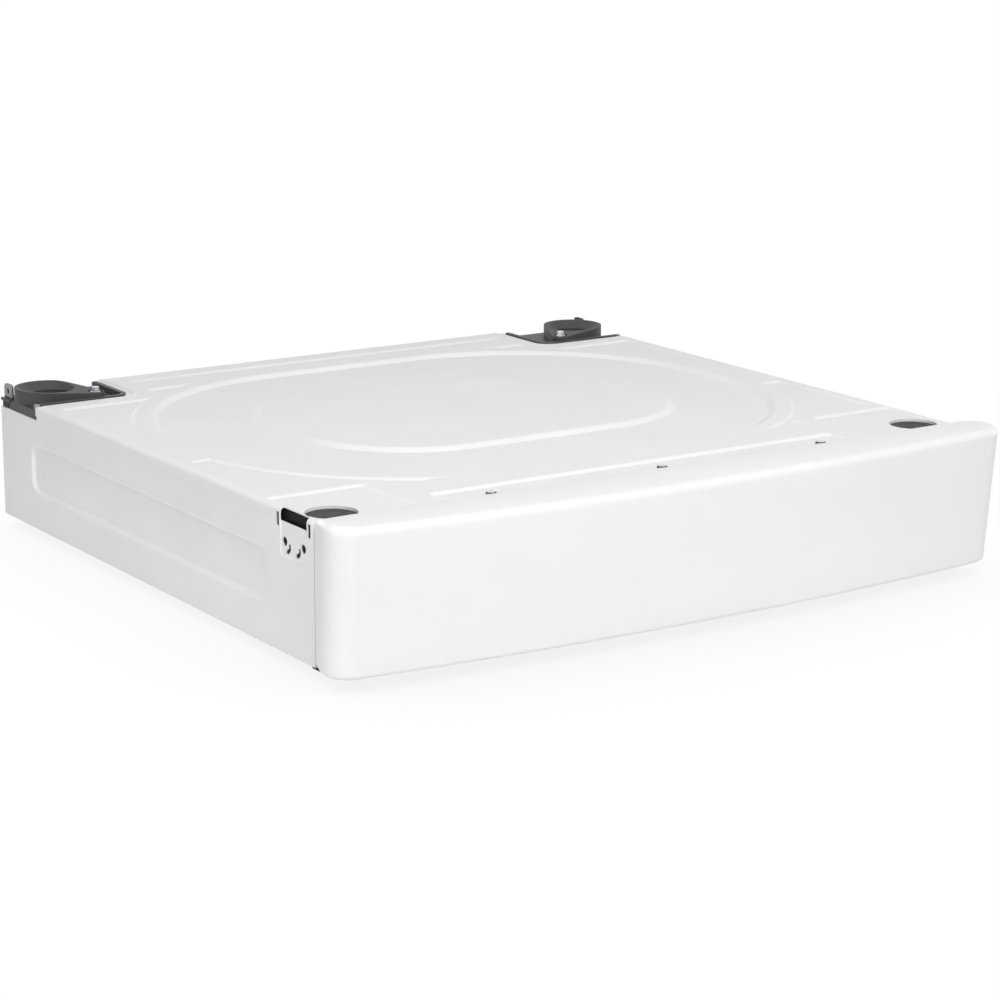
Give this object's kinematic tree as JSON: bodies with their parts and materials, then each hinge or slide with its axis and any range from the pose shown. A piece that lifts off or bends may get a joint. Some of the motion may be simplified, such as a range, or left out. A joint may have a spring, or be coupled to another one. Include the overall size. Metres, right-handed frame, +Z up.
{
  "type": "laundry pedestal",
  "caption": "Low white steel plinth with a pressed deck, bowed front moulding, rear foot cups and screw-adjustable feet that raises and locates a front-loading washer or dryer.",
  "frame": {"origin": "on the floor, under the middle of the bounding box", "axes": "+X to the right seen from the front, +Y to the back, +Z up"},
  "size_m": [0.7327, 0.7231, 0.1481],
  "materials": {
    "white_enamel": "satin white enamel",
    "galvanised": "bare zinc-coated sheet",
    "white_moulding": "glossy white moulding",
    "grey_steel": "dark grey paint",
    "grey_moulding": "dark grey matte moulding",
    "black_moulding": "black matte moulding",
    "rubber": "dark grey rubber",
    "white_screw": "white painted screw",
    "zinc": "bright zinc plate"
  },
  "bodies": {
    "cabinet": {"top_deck": "white_enamel", "left_side_panel": "white_enamel", "right_side_panel": "white_enamel", "rear_panel": "galvanised", "front_rail": "galvanised", "front_deck_beam": "galvanised", "rear_deck_beam": "galvanised", "left_deck_angle": "galvanised", "right_deck_angle": "galvanised", "front_left_foot_bracket": "galvanised", "front_right_foot_bracket": "galvanised", "rear_left_foot_bracket": "galvanised", "rear_right_foot_bracket": "galvanised", "front_fascia": "white_moulding", "left_rear_bracket": "grey_steel", "right_rear_bracket": "grey_steel", "left_foot_cup": "grey_moulding", "right_foot_cup": "grey_moulding", "left_slot_guard": "black_moulding", "right_slot_guard": "black_moulding", "left_fascia_clip": "black_moulding", "right_fascia_clip": "black_moulding", "left_rear_cup_pad": "black_moulding", "right_rear_cup_pad": "black_moulding", "left_front_well_pad": "rubber", "right_front_well_pad": "rubber", "fascia_screws": "white_screw", "rear_panel_screws": "zinc", "cup_clamp_screws": "zinc", "cup_clamp_nuts": "zinc", "weld_nuts": "zinc", "lock_nuts": "zinc"},
    "front_left_pad": {"front_left_foot_pad": "black_moulding"},
    "front_left_stud": {"front_left_foot_stud": "zinc"},
    "front_right_pad": {"front_right_foot_pad": "black_moulding"},
    "front_right_stud": {"front_right_foot_stud": "zinc"},
    "rear_left_pad": {"rear_left_foot_pad": "black_moulding"},
    "rear_left_stud": {"rear_left_foot_stud": "zinc"},
    "rear_right_pad": {"rear_right_foot_pad": "black_moulding"},
    "rear_right_stud": {"rear_right_foot_stud": "zinc"}
  },
  "joints": [
    {"name": "front_left_foot_height", "type": "slide", "parent": "cabinet", "child": "front_left_pad", "axis": [0, 0, -1], "range_m": [0, 0.015]},
    {"name": "front_left_stud_turn", "type": "hinge", "parent": "front_left_pad", "child": "front_left_stud", "pos_m": [-0.2995, -0.2087, 0.04], "axis": [0, 0, -1], "range_deg": [0, 3600]},
    {"name": "front_right_foot_height", "type": "slide", "parent": "cabinet", "child": "front_right_pad", "axis": [0, 0, -1], "range_m": [0, 0.015]},
    {"name": "front_right_stud_turn", "type": "hinge", "parent": "front_right_pad", "child": "front_right_stud", "pos_m": [0.2995, -0.2087, 0.04], "axis": [0, 0, -1], "range_deg": [0, 3600]},
    {"name": "rear_left_foot_height", "type": "slide", "parent": "cabinet", "child": "rear_left_pad", "axis": [0, 0, -1], "range_m": [0, 0.015]},
    {"name": "rear_left_stud_turn", "type": "hinge", "parent": "rear_left_pad", "child": "rear_left_stud", "pos_m": [-0.2995, 0.2873, 0.04], "axis": [0, 0, -1], "range_deg": [0, 3600]},
    {"name": "rear_right_foot_height", "type": "slide", "parent": "cabinet", "child": "rear_right_pad", "axis": [0, 0, -1], "range_m": [0, 0.015]},
    {"name": "rear_right_stud_turn", "type": "hinge", "parent": "rear_right_pad", "child": "rear_right_stud", "pos_m": [0.2995, 0.2873, 0.04], "axis": [0, 0, -1], "range_deg": [0, 3600]}
  ],
  "couplings": [
    {"joint": "front_left_stud_turn", "follows": "front_left_foot_height", "rad_per_m": 4188.8},
    {"joint": "front_right_stud_turn", "follows": "front_right_foot_height", "rad_per_m": 4188.8},
    {"joint": "rear_left_stud_turn", "follows": "rear_left_foot_height", "rad_per_m": 4188.8},
    {"joint": "rear_right_stud_turn", "follows": "rear_right_foot_height", "rad_per_m": 4188.8}
  ]
}
